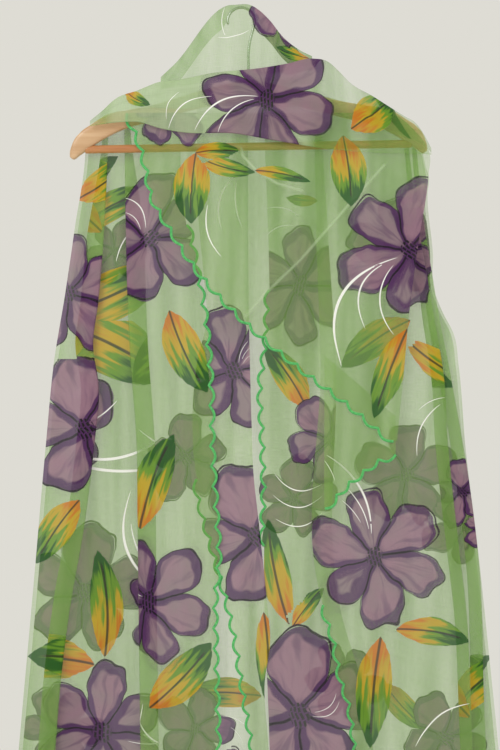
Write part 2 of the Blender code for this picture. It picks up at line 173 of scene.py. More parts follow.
def tube(path, width, height, face, sides):
    """Oval rings round a path: the width lies in the surface, and the height along its normal face."""
    run = unit(np.gradient(path, axis=0))
    beside = unit(np.cross(run, face))
    turn = np.linspace(0.0, 2 * math.pi, sides, endpoint=False)
    width, height = np.broadcast_to(width, len(path)), np.broadcast_to(height, len(path))
    ring = beside[:, None] * (width[:, None] / 2 * np.cos(turn))[..., None]
    return path[:, None] + ring + face[:, None] * (height[:, None] / 2 * np.sin(turn))[..., None]


print("grid helpers ready")

# %% [markdown]
# ## Camera and light
# The photograph looks straight at the stole from about two metres, so an ordinary camera with its
# long side upright holds it without shift. The light there is soft and comes from above and in
# front: one broad lamp does that, a weaker one fills from the other side, and a pale world does the
# rest. The world also shows through the cloth, so its colour is a pale warm grey.

# %% Camera, lamps, floor
CAMERA_AWAY = 2.2
FRAME_MIDDLE = (0.0109, -0.4548)  # across and up
FRAME_HEIGHT = 0.927
FRONT_OF_CLOTH = 0.012
FLOOR_HEIGHT = -1.30

camera_data = bpy.data.cameras.new("view")
camera_data.sensor_width = 36.0
camera_data.lens = camera_data.sensor_width * (CAMERA_AWAY - FRONT_OF_CLOTH) / FRAME_HEIGHT
camera = bpy.data.objects.new("view", camera_data)
camera.location = (FRAME_MIDDLE[0], -CAMERA_AWAY, FRAME_MIDDLE[1])
camera.rotation_euler = (math.radians(90), 0.0, 0.0)
bpy.context.scene.collection.objects.link(camera)
bpy.context.scene.camera = camera


def linear(red, green, blue):
    """Screen colour from 0 to 255 as the renderer's own linear one, with a full alpha."""
    share = np.array([red, green, blue]) / 255.0
    low, high = share / 12.92, ((share + 0.055) / 1.055) ** 2.4
    return (*np.where(share <= 0.04045, low, high).tolist(), 1.0)


def lamp(name, place, target, size, power):
    """Broad square lamp at a place, turned to its target."""
    data = bpy.data.lights.new(name, "AREA")
    data.size = size
    data.energy = power
    thing = bpy.data.objects.new(name, data)
    thing.location = place
    way = np.array(target) - np.array(place)
    flat = math.hypot(way[0], way[1])
    turn = math.atan2(way[1], way[0]) - math.pi / 2
    thing.rotation_euler = (math.pi / 2 + math.atan2(way[2], flat), 0.0, turn)
    bpy.context.scene.collection.objects.link(thing)


lamp("key", (-1.5, -2.0, 1.0), (0.0, 0.0, -0.4), 1.1, 26.0)
lamp("fill", (1.9, -1.9, 0.1), (0.0, 0.0, -0.6), 1.6, 8.0)
lamp("rear", (0.5, 2.2, 0.7), (0.0, 0.0, -0.5), 1.6, 10.0)

world = bpy.data.worlds.new("studio")
bpy.context.scene.world = world
world.use_nodes = True
light = world.node_tree.nodes["Background"]
light.inputs["Color"].default_value = linear(222, 220, 212)
light.inputs["Strength"].default_value = 1.0
bpy.context.scene.view_settings.view_transform = "Standard"
bpy.context.scene.cycles.transparent_max_bounces = 40

bpy.ops.mesh.primitive_plane_add(size=3.0, location=(0.0, 0.0, FLOOR_HEIGHT))
floor = bpy.context.object
floor.name = "floor"
floor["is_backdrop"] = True
print("lens:", round(camera_data.lens, 1), "mm")

# %% [markdown]
# ## Shader arithmetic
# A painted petal is mostly arithmetic: how far is this point from the petal's edge? Each sign in a
# Python expression below adds one Math node, so the formulas stay readable. Every other node comes
# from one method, which sets the node's own choices first and then its sockets.

# %% A value that builds nodes


class Value:
    """Output socket of a node. A sign between two of them adds a Math node."""

    def __init__(self, finish, socket):
        self.finish, self.socket = finish, socket

    def math(self, operation, *others):
        return self.finish.node("Math", {"operation": operation}, [self, *others])

    def __add__(self, other):
        return self.math("ADD", other)

    def __sub__(self, other):
        return self.math("SUBTRACT", other)

    def __rsub__(self, other):
        return self.finish.node("Math", {"operation": "SUBTRACT"}, [other, self])

    def __mul__(self, other):
        return self.math("MULTIPLY", other)

    def __truediv__(self, other):
        return self.math("DIVIDE", other)

    def __pow__(self, other):
        return self.math("POWER", other)

    __radd__ = __add__
    __rmul__ = __mul__


class Finish:
    """A material under construction, with a Principled shader as its end."""

    def __init__(self, name, **constants):
        self.material = bpy.data.materials.new(name)
        self.material.use_nodes = True
        self.tree = self.material.node_tree
        self.shader = self.tree.nodes["Principled BSDF"]
        for socket, value in constants.items():
            self.shader.inputs[socket.replace("_", " ")].default_value = value

    def node(self, kind, settings=None, values=(), output=0):
        """New node: its settings first, then values or links by a socket's place or name."""
        new = self.tree.nodes.new("ShaderNode" + kind)
        for name, value in (settings or {}).items():
            setattr(new, name, value)
        pairs = values.items() if isinstance(values, dict) else enumerate(values)
        for place, value in pairs:
            self.put(value, new.inputs[place])
        return Value(self, new.outputs[output])

    def put(self, value, socket):
        """A value or a link into one socket."""
        if isinstance(value, Value):
            self.tree.links.new(value.socket, socket)
        else:
            socket.default_value = value

    def feed(self, socket, value):
        """What changes over the surface, into the shader."""
        self.put(value, self.shader.inputs[socket])

    def attribute(self, name):
        """The three numbers that the mesh holds under a name."""
        return self.parts(self.node("Attribute", {"attribute_name": name}, output=1))

    def parts(self, vector):
        """The three numbers of a vector or a colour."""
        first = self.node("SeparateXYZ", values=[vector])
        return [Value(self, first.socket.node.outputs[k]) for k in range(3)]

    def vector(self, x, y, z=0.0):
        return self.node("CombineXYZ", values=[x, y, z])

    def noise(self, place, scale, detail=1.0, output=0):
        return self.node("TexNoise", {}, {"Vector": place, "Scale": scale, "Detail": detail}, output)

    def soft(self, value, low, high):
        """0 below low, 1 above high, and smooth between: the same as ease in numbers."""
        return self.node("MapRange", {"interpolation_type": "SMOOTHSTEP"}, [value, low, high])

    def blend(self, share, first, second):
        """Colour: the first where the share is 0, the second where it is 1."""
        return self.node("Mix", {"data_type": "RGBA"}, {0: share, 6: first, 7: second}, 2)


print("finish maker ready")

# %% [markdown]
# ## The organza and its painted print
# Organza is a thin stiff weave that lets light through, so its Alpha is low and the cloth's own back
# layers show. Paint fills the weave, so Alpha is high there. The mesh carries three
# kinds of motif in its corners: flower, leaf and stroke, each with its own small coordinates. The
# shader only has to draw one flower, one leaf and one stroke. A petal's edge is worked out from how
# far a point lies inside the petal's outline and from the line to the next petal. Where a sharp fold
# or a roll lays the cloth double, a third number in its flat coordinates makes it denser, and paints
# it paler as a highlight on the fold or roll. Below 0 it makes a single loose layer clearer. Soft
# vertical streaks are denser too, and painted darker green as a shade of the pleats. The back layer's
# petals are mixed redder, because the green cloth in front of them takes the red out again.

# %% Painted organza
TURN = 2 * math.pi
FAR = 9.0  # motif coordinates where there is no motif


def painted_organza(name, petal_grey, petal_mauve):
    """Cloth finish with flowers, leaves and white strokes drawn by formulas."""
    cloth = Finish(name, Specular_IOR_Level=0.2, Sheen_Weight=0.15, Sheen_Roughness=0.4)
    u, v, tuck = cloth.attribute("cloth")
    weft = cloth.noise(cloth.vector(u * 70, v * 1500), 1.0)
    warp = cloth.noise(cloth.vector(u * 1500, v * 70), 1.0)
    # Soft vertical streaks: denser cloth, and a painted shade of the pleats in the ground's colour
    gather_and_painted_shade = cloth.soft(cloth.noise(cloth.vector(u * 34, v * 2.5), 1.0, 2.0), 0.3, 0.7)

    # Flower: petals in polar coordinates, with a broad painted rim and a pen line that wanders
    p, q, seed = cloth.attribute("flower")
    wash_x, wash_y, wash_z = cloth.parts(cloth.noise(cloth.vector(p, q, seed), 1.7, 2.0, output=1))
    p, q = p + (wash_x - 0.5) * 0.26, q + (wash_y - 0.5) * 0.26
    radius = (p * p + q * q) ** 0.5
    petals = seed.math("GREATER_THAN", 4.5) + 5.0
    turn = (q.math("ARCTAN2", p) / TURN + 0.5) * petals
    own = cloth.node("TexWhiteNoise", {"noise_dimensions": "2D"},
                     {"Vector": cloth.vector(turn.math("FLOOR"), seed)})
    across = turn.math("FRACT")
    beside = (across * 2.0 - 1.0).math("ABSOLUTE")
    lobes = (across * (TURN * 2.4) + own * TURN).math("SINE") * 0.020
    reach = (own * 0.20 + 0.80) * (1.0 - beside ** 2.8 * 0.42) + lobes
    top = reach - radius
    side = (1.0 - beside) * radius * math.pi / petals
    petal = cloth.soft(top, 0.0, 0.014)
    pen_off = (top + (wash_z - 0.45) * 0.16 - 0.012).math("ABSOLUTE")
    pen_top = 1.0 - cloth.soft(pen_off, 0.009, 0.019)
    pen_side = (1.0 - cloth.soft(side, 0.008, 0.018)) * petal * cloth.soft(radius, 0.09, 0.14)
    pen = pen_top.math("MAXIMUM", pen_side) * cloth.soft(top, -0.10, -0.05)
    inside = top.math("MINIMUM", side * (own * 1.6 + 0.9))
    rim = 1.0 - cloth.soft(inside + (wash_z - 0.5) * 0.34, 0.10, 0.145)
    streak = cloth.noise(cloth.vector(turn * 4.0, radius * 1.1, seed), 1.5, 2.0)
    cell_x, cell_y = p / 0.055, q / 0.075 + (p / 0.055).math("FLOOR") * 0.4
    off_x = (cell_x.math("FRACT") - 0.5).math("ABSOLUTE") * 0.055
    off_y = (cell_y.math("FRACT") - 0.5).math("ABSOLUTE") * 0.075
    dash = (1.0 - cloth.soft(off_x, 0.012, 0.018)) * (1.0 - cloth.soft(off_y, 0.026, 0.034))
    dash = dash * (1.0 - cloth.soft(radius, 0.125, 0.145))
    heart = 1.0 - cloth.soft(radius, 0.08, 0.24)

    mauve = cloth.blend(cloth.soft(wash_x + own * 0.3, 0.45, 0.85), petal_grey, petal_mauve)
    plum = cloth.blend(wash_y, linear(58, 24, 72), linear(92, 48, 102))
    paint = cloth.blend(cloth.soft(streak, 0.46, 0.70) * 0.50, mauve, plum)
    paint = cloth.blend(rim, paint, plum)
    paint = cloth.blend(heart * 0.5, paint, plum)
    paint = cloth.blend((pen * 0.9).math("MAXIMUM", dash), paint, linear(14, 8, 16))

    # Leaf: a pointed oval, orange at the stalk, brushed with green towards the tip
    along_leaf, off_rib, fullness = cloth.attribute("leaf")
    hump = along_leaf * (1.0 - along_leaf) * 4.0
    off_rib = off_rib - hump * (fullness * 17.0).math("SINE") * 0.06
    brush = cloth.noise(cloth.vector(along_leaf * 1.6, off_rib * 14.0, fullness * 9.0), 1.3, 2.0)
    from_rib = off_rib.math("ABSOLUTE")
    half = (hump.math("MAXIMUM", 0.0) ** 0.85) * (fullness * 0.16 + 0.13 - along_leaf * 0.04)
    leaf_in = half - from_rib + (brush - 0.5) * 0.05
    leaf = cloth.soft(leaf_in, 0.0, 0.010)
    tone = along_leaf + (brush - 0.5) * 1.3
    gold = cloth.blend(cloth.soft(tone, 0.05, 0.34), linear(198, 118, 24), linear(192, 162, 36))
    green = cloth.blend(cloth.soft(tone, 0.62, 0.80), linear(104, 148, 40), linear(36, 90, 28))
    leaf_paint = cloth.blend(cloth.soft(tone, 0.40, 0.56), gold, green)
    rib = (1.0 - cloth.soft(from_rib, 0.007, 0.016)) * (1.0 - cloth.soft(along_leaf, 0.82, 0.90))
    leaf_paint = cloth.blend(rib * 0.85, leaf_paint, linear(36, 40, 26))

    # Stroke: a thin white arc that swells in the middle
    along_stroke, off_line, bow = cloth.attribute("stroke")
    arch = (along_stroke * (1.0 - along_stroke) * 4.0).math("MAXIMUM", 0.0)
    width = arch ** 0.5 * 0.012
    stroke = 1.0 - cloth.soft((off_line - arch * bow).math("ABSOLUTE") - width, -0.003, 0.002)
    stroke = stroke * cloth.soft(arch, 0.0, 0.1)

    # The ground green is painted darker along the streaks, as shade of the pleats
    ground = cloth.blend(gather_and_painted_shade, linear(142, 186, 90), linear(122, 166, 74))
    # Paler where the third number is high: a painted highlight on sharp folds and on the band's roll
    ground = cloth.blend(tuck * 0.8, ground, linear(206, 220, 190))
    colour = cloth.blend(leaf, ground, leaf_paint)
    colour = cloth.blend(petal.math("MAXIMUM", pen), colour, paint)
    colour = cloth.blend(stroke, colour, linear(246, 246, 242))
    weave = weft + warp - 1.0
    bare = weave * 0.18 + gather_and_painted_shade * 0.16 + tuck * 0.30 + 0.31
    painted = (leaf * 0.88).math("MAXIMUM", petal * 0.86).math("MAXIMUM", pen * 0.92)
    alpha = bare.math("MAXIMUM", painted + weave * 0.1 * petal).math("MAXIMUM", stroke * 0.97)
    cloth.feed("Base Color", colour)
    cloth.feed("Alpha", alpha)
    cloth.feed("Roughness", 0.62 - petal * 0.12 + weave * 0.15)
    bump = cloth.node("Bump", {}, {"Strength": 0.25, "Distance": 0.0003, "Height": weave})
    cloth.feed("Normal", bump)
    return cloth.material


print("organza finish defined")

# %% [markdown]
# ## Other finishes
# The edging is satin stitch: short glossy threads laid side by side across the cord. The yoke is
# pale wood with long grain, the bar a redder one, and the hook is drawn steel wire.

# %% Thread, wood and steel


def satin_stitch():
    """Green thread: fine ribs across the cord, from its own length coordinate."""
    thread = Finish("satin_stitch", Specular_IOR_Level=0.45, Sheen_Weight=0.2)
    run, turn, _ = thread.attribute("cloth")
    ribs = (run * (TURN / 0.0009) + turn * 2.0).math("SINE")
    shade = thread.noise(thread.vector(run * 300, turn), 1.0, 2.0)
    green = thread.blend(thread.soft(shade, 0.3, 0.7), linear(62, 172, 88), linear(104, 214, 118))
    thread.feed("Base Color", green)
    thread.feed("Roughness", 0.42 + shade * 0.2)
    thread.feed("Normal", thread.node("Bump", {}, {"Strength": 0.5, "Distance": 0.0004, "Height": ribs}))
    return thread.material


def wood(name, pale, dark, roughness):
    """Long grain along X: noise stretched far along the board, with darker growth lines."""
    board = Finish(name, Coat_Weight=0.25, Coat_Roughness=0.25)
    place = board.node("TexCoord", output=3)
    x, y, z = board.parts(place)
    grain = board.noise(board.vector(x * 9, y * 120, z * 150), 1.0, 4.0)
    rings = ((z * 260 + y * 90 + grain * 5.0).math("SINE") + 1.0) * 0.5
    tone = board.soft(grain, 0.3, 0.75) * 0.6 + rings * 0.3
    board.feed("Base Color", board.blend(tone, pale, dark))
    board.feed("Roughness", grain * 0.2 + roughness)
    board.feed("Normal", board.node("Bump", {}, {"Strength": 0.2, "Distance": 0.0006, "Height": grain}))
    return board.material


def drawn_steel():
    """Wire with fine scratches along it."""
    steel = Finish("drawn_steel", Metallic=1.0)
    place = steel.node("TexCoord", output=3)
    scratch = steel.noise(place, 900.0, 3.0)
    steel.feed("Base Color", steel.blend(scratch, linear(176, 176, 178), linear(205, 205, 206)))
    steel.feed("Roughness", scratch * 0.22 + 0.18)
    steel.feed("Normal", steel.node("Bump", {}, {"Strength": 0.15, "Distance": 0.0002, "Height": scratch}))
    return steel.material


organza = painted_organza("front_organza", linear(140, 122, 128), linear(152, 116, 134))
back_organza = painted_organza("back_organza", linear(128, 86, 122), linear(138, 80, 128))
edging = satin_stitch()
pale_wood = wood("pale_wood", linear(218, 182, 142), linear(190, 146, 102), 0.32)
red_wood = wood("red_wood", linear(216, 154, 98), linear(172, 106, 58), 0.34)
steel_wire = drawn_steel()
print("finishes:", [finish.name for finish in bpy.data.materials])

# %% [markdown]
# ## The edging: scallops and their cord
# The cloth ends in small round lobes, and a cord of stitches follows them. A half sine wave for each
# lobe gives round lobes with sharp cusps between. The cloth's own outline gets the same wave as the
# cord, so the two stay together.

# %% Scalloped edges
SCALLOP_PITCH = 0.0255
SCALLOP_DEPTH = 0.006
BORDER_WIDTH = 0.003
CORD_WIDTH = 0.0034
CORD_HEIGHT = 0.0016
CORD_STEPS = 10  # along each scallop
PLAIN_EDGE = 0.0012


def scallop_reach(length, total):
    """How far the cord's middle lies outside the panel's edge: a whole number of half sine waves."""
    count = max(1, round(total / SCALLOP_PITCH))
    wave = np.abs(np.sin(math.pi * count * length / total))
    return BORDER_WIDTH + SCALLOP_DEPTH * wave - CORD_WIDTH / 2


def outward(edge, inside, normal):
    """Unit lines out of the panel's edge, square to the edge and to the panel's normal."""
    out = unit(np.cross(unit(np.gradient(edge, axis=0)), normal))
    return out * np.sign(np.sum(out * (edge - inside), axis=1))[:, None]


WHOLE = slice(None)


def scalloped(rows, top, foot=-2.0):
    """The span of rows between two heights, where a side carries scallops."""
    return slice(int(np.sum(rows >= top)), int(np.sum(rows > foot)))


def edge_reach(edge, span):
    """Reach at each point of an edge: scallops over a span of its points, and else a plain turned edge."""
    length = along(edge)
    reach = np.full(len(edge), PLAIN_EDGE)
    reach[span] = scallop_reach(length[span] - length[span][0], np.ptp(length[span]))
    return reach


def with_side(grid, column, span=WHOLE):
    """The grid with three more columns, out to the scallops at its first or last column."""
    inside = grid[:, 1 if column == 0 else -2]
    edge = grid[:, column]
    out = outward(edge, inside, normals_of(grid)[:, column]) * edge_reach(edge, span)[:, None]
    more = [edge + out * share for share in (1 / 3, 2 / 3, 1.0)]
    more = np.stack(more[::-1] if column == 0 else more, axis=1)
    return np.hstack([more, grid] if column == 0 else [grid, more])


def with_hem(grid):
    """The grid with three more rows, out to the scallops below its last one."""
    out = outward(grid[-1], grid[-2], normals_of(grid)[-1]) * edge_reach(grid[-1], WHOLE)[:, None]
    return np.concatenate([grid, [grid[-1] + out * share for share in (1 / 3, 2 / 3, 1.0)]])


def store(piece, name, values):
    """Three numbers for each corner of the piece's faces, under a name."""
    full = np.zeros((len(piece.data.loops), 3))
    full[: len(values)] = values
    held = piece.data.attributes.new(name, "FLOAT_VECTOR", "CORNER")
    held.data.foreach_set("vector", full.ravel())


def edge_cord(name, node, edge, inside, normal):
    """Cord of satin stitch along a scalloped edge, in place of a border node."""
    length = along(edge)
    count = max(1, round(length[-1] / SCALLOP_PITCH))
    marks = np.linspace(0.0, length[-1], count * CORD_STEPS + 1)
    out = outward(edge, inside, normal)

    def at_marks(lines):
        return np.stack([np.interp(marks, length, lines[:, axis]) for axis in range(3)], axis=1)

    face = unit(at_marks(normal))
    path = at_marks(edge) + unit(at_marks(out)) * scallop_reach(marks, length[-1])[:, None]
    path[:, 0] += SIDEWAYS
    sides = 8
    cord = mesh_of(name, tube(path, CORD_WIDTH, CORD_HEIGHT, face, sides), edging, True, True)
    run = np.stack(np.broadcast_arrays(marks[:, None], np.arange(sides + 1.0), 0.0), axis=2)
    store(cord, "cloth", corner_values(run).reshape(-1, 3))
    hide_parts(node)
    return cord


def side_cord(name, grid, column, span=WHOLE):
    """Cord down one side of a panel, named after its border node."""
    inside = grid[span, 1 if column == 0 else -2]
    normal = normals_of(grid)[span, column]
    return edge_cord("edging_" + name, "border_" + name, grid[span, column], inside, normal)


def hem_cord(name, grid):
    """Cord along a panel's lower end, named after its border node."""
    return edge_cord("edging_" + name, "border_" + name, grid[-1], grid[-2], normals_of(grid)[-1])


print("scallop pitch and depth:", SCALLOP_PITCH, SCALLOP_DEPTH)

# %% [markdown]
# ## Laying the print on a sheet
# Flat coordinates tell how far a point is across and down the cloth before it was hung. A motif is
# placed by where it shows, and the nearest front point of the sheet says where that is on the flat
# cloth, so a flower runs on into a pleat and is cut by it as a real one is. Each face takes the
# motif that is nearest to its middle, and its four corners get that motif's own coordinates.

# %% Print helpers


def flat_of(grid, column=0, row=None):
    """Across: length along a row, from one column's own place. Down: height, or length down a column."""
    steps = np.linalg.norm(np.diff(grid, axis=1), axis=2)
    length = np.hstack([np.zeros((len(grid), 1)), np.cumsum(steps, axis=1)])
    u = length - length[:, column, None] + grid[:, column, 0, None]
    if row is None:
        return u, grid[:, :, 2]
    steps = np.linalg.norm(np.diff(grid, axis=0), axis=2)
    length = np.vstack([np.zeros((1, grid.shape[1])), np.cumsum(steps, axis=0)])
    return u, grid[row, :, 2] - length + length[row]


def laid(grid, flat, x, z):
    """Flat coordinates of what shows at a place: the nearest point, and the one in front of others."""
    x, z = x / 1000.0, z / 1000.0
    far = np.hypot(grid[:, :, 0] - x, grid[:, :, 2] - z) + 0.8 * grid[:, :, 1]
    i, j = np.unravel_index(np.argmin(far), far.shape)
    return np.array([flat[0][i, j] + x - grid[i, j, 0], flat[1][i, j] + z - grid[i, j, 2]])


def flower_at(place, size, degrees, seed):
    """Round motif: the distance from its middle, turned, as a share of its size."""
    turn = math.radians(degrees)
    size = size / 1000.0

    def local(u, v):
        u, v = (u - place[0]) / size, (v - place[1]) / size
        p, q = u * math.cos(turn) + v * math.sin(turn), v * math.cos(turn) - u * math.sin(turn)
        return np.stack([p, q, np.full(u.shape, float(seed))], axis=-1)

    return local, lambda m: np.hypot(m[..., 0], m[..., 1]) / 1.3


def long_at(start, end, third):
    """Coordinates along and beside the line from start to end, as shares of its length."""
    run = end - start
    size = run @ run

    def local(u, v):
        u, v = u - start[0], v - start[1]
        first, second = (u * run[0] + v * run[1]) / size, (v * run[0] - u * run[1]) / size
        return np.stack([first, second, np.full(u.shape, float(third))], axis=-1)

    return local


def leaf_at(start, end, fullness):
    """Long motif: it is near within a box a little larger than the fullest leaf."""
    near = lambda m: np.maximum(np.abs(m[..., 0] - 0.5) / 0.56, np.abs(m[..., 1]) / 0.33)
    return long_at(start, end, fullness), near


def stroke_at(start, end, bow):
    """Long motif: it is near within 6 mm of the arc, a parabola that rises by the bow."""
    length = float(np.linalg.norm(end - start))

    def near(m):
        off = np.abs(m[..., 1] - 4 * m[..., 0] * (1 - m[..., 0]) * bow) * length / 0.006
        return np.maximum(off, np.abs(m[..., 0] - 0.5) / 0.52)

    return long_at(start, end, bow), near


def lay_motifs(piece, name, flat, motifs):
    """Corner coordinates of the motif nearest to each face, or FAR where there is none."""
    corners = [corner_values(values) for values in flat]
    middle = [values.mean(axis=2) for values in corners]
    values = np.full((*corners[0].shape, 3), FAR)
    best = np.ones(middle[0].shape)
    for local, near in motifs:
        score = near(local(*middle))
        mine = score < best
        values[mine] = local(corners[0][mine], corners[1][mine])
        best = np.where(mine, score, best)
    store(piece, name, values.reshape(-1, 3))


def printed_sheet(name, grid, flat, print_table, tuck=0.0, material=organza):
    """A cloth piece with its print, in place of the model's node of the same name.

    tuck is 1 on a sharp fold, where the cloth is denser and painted paler as a highlight.
    """
    piece = mesh_of(name + "_cloth", grid + np.array([SIDEWAYS, 0.0, 0.0]), material)
    flowers, leaves, strokes = print_table
    at = lambda x, z: laid(grid, flat, x, z)
    store(piece, "cloth", corner_values(np.stack([*flat, tuck + 0 * flat[0]], axis=2)).reshape(-1, 3))
    lay_motifs(piece, "flower", flat, [
        flower_at(at(x, z), *rest) for x, z, *rest in flowers
    ])
    lay_motifs(piece, "leaf", flat, [
        leaf_at(at(x0, z0), at(x1, z1), fullness) for x0, z0, x1, z1, fullness in leaves
    ])
    lay_motifs(piece, "stroke", flat, [
        stroke_at(at(x0, z0), at(x1, z1), bow) for x0, z0, x1, z1, bow in strokes
    ])
    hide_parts(name)
    return piece


print("print helpers ready")

# %% [markdown]
# ## How the layers hang
# All the layers hang together, so they share one slow sway and one set of soft creases: a shared
# depth keeps them clear of one another. Each crease is a line with a bell-shaped cross-section, and
# its length, depth and width were given one by one, uneven as in the photograph.

# %% Shared depth
FRONT_DEPTH = 0.0073  # the first layer behind the arms
LAYER = 0.0020  # from one flat layer to the next
FALL_TOP = -0.150
TOP_BELOW_ARM = 0.008
SWELL = 0.006
CREASE_DEPTH = 1.5
SWELL_PITCH = 0.21

# Columns: across and height of the upper end, of the lower end, depth, half width, in millimetres
CREASES = [
    (-188, -215, -214, -470, 2.2, 9), (-160, -190, -168, -560, -1.8, 11), (-205, -520, -247, -1010, -2.8, 13),
    (-150, -640, -176, -1170, 2.6, 16), (-112, -230, -104, -610, -2.0, 12), (-86, -330, -82, -780, 2.4, 10),
    (-118, -700, -98, -1190, -3.0, 17), (-62, -560, -58, -1150, 2.2, 12), (-22, -420, -2, -860, -1.8, 10),
    (8, -640, 32, -1180, 2.2, 12), (58, -300, 70, -760, -2.4, 15), (88, -520, 104, -1190, 2.6, 12),
    (132, -330, 148, -900, -2.8, 15), (168, -240, 196, -700, 2.4, 12), (206, -560, 236, -1180, -3.2, 17),
    (178, -820, 192, -1200, 2.8, 13), (262, -470, 300, -1130, 2.2, 11), (128, -930, 136, -1200, 2.4, 14),
]


def bell(x, z, x0, z0, x1, z1, wide):
    """Height of a soft ridge: a bell of the distance from its line, 1 on the line itself."""
    run_x, run_z = x1 - x0, z1 - z0
    share = np.clip(((x - x0) * run_x + (z - z0) * run_z) / (run_x**2 + run_z**2), 0.0, 1.0)
    away = np.hypot(x - x0 - share * run_x, z - z0 - share * run_z)
    return np.exp(-((away / wide) ** 2))


def sway(x, z):
    """Shared depth: a slow sine across, from nothing at the bar to full at the hem, and the creases."""
    fall = ease((-0.20 - z) / 0.6)
    depth = SWELL * fall * np.sin(TURN * (x / SWELL_PITCH + 0.35 * z + 0.1))
    for *line, deep, wide in np.array(CREASES) / 1000.0:
        depth = depth + CREASE_DEPTH * deep * bell(x, z, *line, wide) * ease((-0.19 - z) / 0.09)
    return depth


def pleated(turns, levels, counts, arc_steps):
    """Rows across a pleated cloth: straight runs at their depths, joined by half circles."""
    places, depths = [], []
    for k, count in enumerate(counts):
        way = np.sign(turns[k + 1] - turns[k])
        turn_in = np.abs(levels[k] - levels[k - 1]) / 2 if k else 0.0
        half = (levels[k + 1] - levels[k]) / 2 if k + 1 < len(levels) else 0.0 * levels[k]
        start, end = turns[k] + way * turn_in, turns[k + 1] - way * np.abs(half)
        share = np.linspace(0.0, 1.0, count)
        places.append(start[:, None] * (1 - share) + end[:, None] * share)
        depths.append(levels[k][:, None] + 0 * share)
        if k + 1 < len(levels):
            angle = np.linspace(0.0, math.pi, arc_steps + 1)[1:-1]
            places.append(end[:, None] + (way * np.abs(half))[:, None] * np.sin(angle))
            depths.append((levels[k] + half)[:, None] - half[:, None] * np.cos(angle))
    return np.hstack(places), np.hstack(depths)


def hang(x, y, rows):
    """Grid of a fall: its upper end follows the arms, and it sways with the other layers."""
    z = rows[:, None] + 0 * x
    lift = arm_edges(x)[0] - TOP_BELOW_ARM - FALL_TOP
    z = z + lift * (1 - ease((FALL_TOP - z) / 0.20))
    return np.stack([x, y + sway(x, z), z], axis=2)


def spread(left, right, count):
    """Places at even shares of the way from a left line to a right line."""
    share = np.linspace(0.0, 1.0, count)
    return left[:, None] * (1 - share) + right[:, None] * share


print("creases:", len(CREASES))

# %% [markdown]
# ## The left fall
# Two folds close over a recessed strip: an inverted box pleat. Its right edge carries the scallops
# that run down beside the inner fall.

# %% Left fall
LEFT_OUTLINE = [(-150, -200), (-180, -201), (-258, -213), (-349, -225), (-435, -239), (-548, -250),
                (-707, -264), (-900, -282), (-1225, -312)]
LEFT_FOLD_1 = [(-150, -171), (-258, -176), (-367, -185), (-415, -191), (-470, -184), (-548, -190),
               (-665, -205), (-721, -215), (-833, -230), (-918, -237), (-1225, -262)]
LEFT_FOLD_2 = [(-150, -152), (-239, -151), (-415, -146), (-548, -137), (-640, -136), (-1225, -128)]
LEFT_EDGE = [(-150, -84), (-260, -79), (-319, -66), (-367, -57), (-461, -48), (-546, -46),
             (-628, -41), (-687, -38), (-730, -42), (-782, -42), (-857, -40), (-1225, -32)]
LEFT_SCALLOPS_FROM = -0.275

# Flowers. Columns: across, height, radius in millimetres, turn in degrees, seed: 5 or more has six petals
# Leaves. Columns: across and height of the stalk and of the tip, fullness from 0 to 1
# Strokes. Columns: across and height of both ends, bow as a share of the length
LEFT_PRINT = (
    [(-120, -283, 88, -35, 1), (-222, -353, 84, 20, 3), (-199, -521, 92, 30, 2), (-122, -740, 90, 15, 7),
     (-179, -902, 94, -5, 8), (-84, -1040, 84, 25, 6), (-262, -1070, 84, 15, 3), (-140, -1165, 86, 60, 2)],
    [(-212, -236, -160, -181, 0.6), (-172, -276, -152, -222, 0.5), (-184, -379, -146, -314, 0.6),
     (-192, -388, -144, -464, 0.8), (-96, -374, -48, -477, 0.7), (-133, -648, -90, -528, 0.5),
     (-207, -610, -262, -690, 0.7), (-177, -808, -187, -673, 0.3), (-189, -817, -273, -806, 0.6),
     (-121, -871, -43, -788, 0.7), (-60, -940, -120, -960, 0.5), (-222, -985, -190, -1060, 0.7),
     (-180, -1010, -150, -1090, 0.2), (-60, -1110, -92, -1180, 0.4), (-290, -1150, -240, -1205, 0.9),
     (-200, -1130, -236, -1180, 0.3)],
    [(-125, -272, -151, -234, -0.15), (-131, -274, -151, -252, -0.12), (-151, -250, -163, -314, -0.12),
     (-188, -527, -161, -486, -0.10), (-190, -545, -143, -522, -0.17), (-191, -554, -141, -565, -0.10),
     (-128, -732, -144, -598, 0.27), (-135, -720, -145, -640, 0.16), (-150, -914, -129, -864, -0.30),
     (-84, -1035, -140, -1085, 0.20), (-80, -1045, -126, -1110, 0.16)],
)

FALL_STEP = 0.0032  # from row to row


def fall_heights(hem):
    """Heights of a fall's rows, evenly spaced from its top to its hem."""
    return np.linspace(FALL_TOP, hem, round((FALL_TOP - hem) / FALL_STEP) + 1)


def lines_at(rows, *tables):
    """Place across of each table's smooth line, at every row."""
    return [curve_through(table)(rows) for table in tables]


